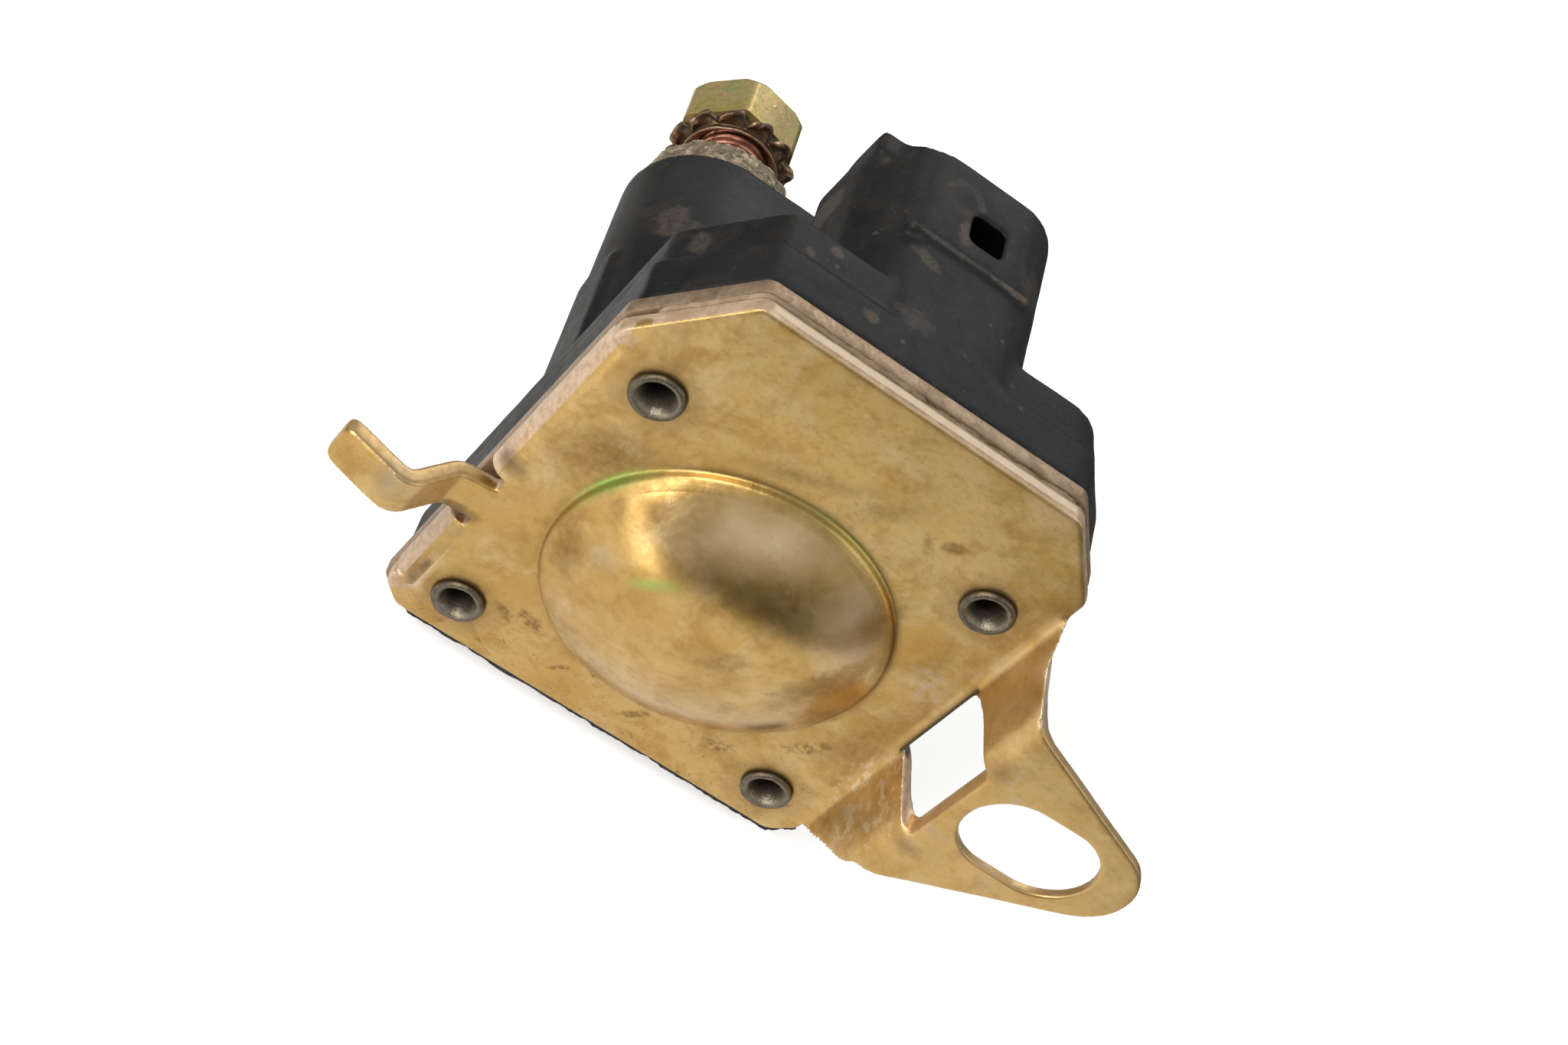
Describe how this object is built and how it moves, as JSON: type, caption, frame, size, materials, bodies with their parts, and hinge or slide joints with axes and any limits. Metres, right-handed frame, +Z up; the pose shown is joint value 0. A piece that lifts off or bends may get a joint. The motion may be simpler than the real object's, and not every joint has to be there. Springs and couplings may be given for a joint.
{
  "type": "starter solenoid",
  "caption": "Starter solenoid: black moulded body with threaded terminal studs and a blade connector, riveted to a plated steel bracket with a domed cup, slotted ear and bent tab.",
  "frame": {"origin": "centre of the body's flat back, on which the part lies", "axes": "+Z up from the flat back to the connector side, +Y along the plunger's axis from the bracket to the studs, +X from the bent tab to the slotted ear"},
  "size_m": [0.0893, 0.0765, 0.0635],
  "materials": {
    "yellow_zinc": "yellow zinc plating, blotchy, scratched and stained",
    "rivet_steel": "dark tarnished steel",
    "gasket_rubber": "matt",
    "flux_steel": "yellow zinc plating, cut edges",
    "black_plastic": "matt moulded, dusty and scuffed",
    "soft_iron": "plain machined",
    "bobbin_plastic": "moulded",
    "enamel_copper": "enamelled wire",
    "yellow_brass": "satin",
    "spring_steel": "drawn wire",
    "copper": "bare copper",
    "tinned_brass": "tinned",
    "dirty_steel": "tarnished and grimy",
    "washer_bronze": "dark bronze-brown plating",
    "nut_zinc": "yellow zinc plating with a green tinge"
  },
  "bodies": {
    "frame": {"base_bracket": "yellow_zinc", "rivets": "rivet_steel", "gasket": "gasket_rubber", "flux_plate": "flux_steel", "housing": "black_plastic", "yoke_frame": "soft_iron", "coil_bobbin": "bobbin_plastic", "coil_winding": "enamel_copper", "coil_leads": "enamel_copper", "guide_tube": "yellow_brass", "fixed_core": "soft_iron", "return_spring": "spring_steel", "left_blade": "tinned_brass", "right_blade": "tinned_brass", "left_stud": "copper", "right_stud": "copper", "left_collar": "dirty_steel", "right_collar": "dirty_steel"},
    "armature": {"plunger": "soft_iron", "push_rod": "yellow_brass", "retaining_clip": "spring_steel", "contact_spring": "spring_steel"},
    "contact": {"contact_bush": "bobbin_plastic", "contact_bar": "copper"},
    "left_washer": {"left_lock_washer": "washer_bronze"},
    "left_nut_body": {"left_nut": "nut_zinc"},
    "right_washer": {"right_lock_washer": "washer_bronze"},
    "right_nut_body": {"right_nut": "nut_zinc"}
  },
  "joints": [
    {"name": "plunger_slide", "type": "slide", "parent": "frame", "child": "armature", "axis": [0, 1, 0], "range_m": [0, 0.0028], "stiffness_N_per_m": 300, "springref_m": -0.004, "deforming": ["return_spring"]},
    {"name": "contact_slide", "type": "slide", "parent": "armature", "child": "contact", "axis": [0, 1, 0], "range_m": [-0.00084, 0], "deforming": ["contact_spring"]},
    {"name": "left_washer_travel", "type": "slide", "parent": "frame", "child": "left_washer", "axis": [0, 1, 0], "range_m": [-0.00475, 0.0065]},
    {"name": "left_nut_spin", "type": "hinge", "parent": "left_washer", "child": "left_nut_body", "pos_m": [-0.0143, 0.04575, 0.029], "axis": [0, 1, 0], "range_deg": [-1660, 2260]},
    {"name": "right_washer_travel", "type": "slide", "parent": "frame", "child": "right_washer", "axis": [0, 1, 0], "range_m": [-0.00475, 0.0065]},
    {"name": "right_nut_spin", "type": "hinge", "parent": "right_washer", "child": "right_nut_body", "pos_m": [0.0143, 0.04575, 0.029], "axis": [0, 1, 0], "range_deg": [-1660, 2260]}
  ],
  "couplings": [
    {"joint": "contact_slide", "follows": "plunger_slide", "ratio": -0.3},
    {"joint": "left_nut_spin", "follows": "left_washer_travel", "rad_per_m": 5936.9},
    {"joint": "right_nut_spin", "follows": "right_washer_travel", "rad_per_m": 5936.9}
  ]
}
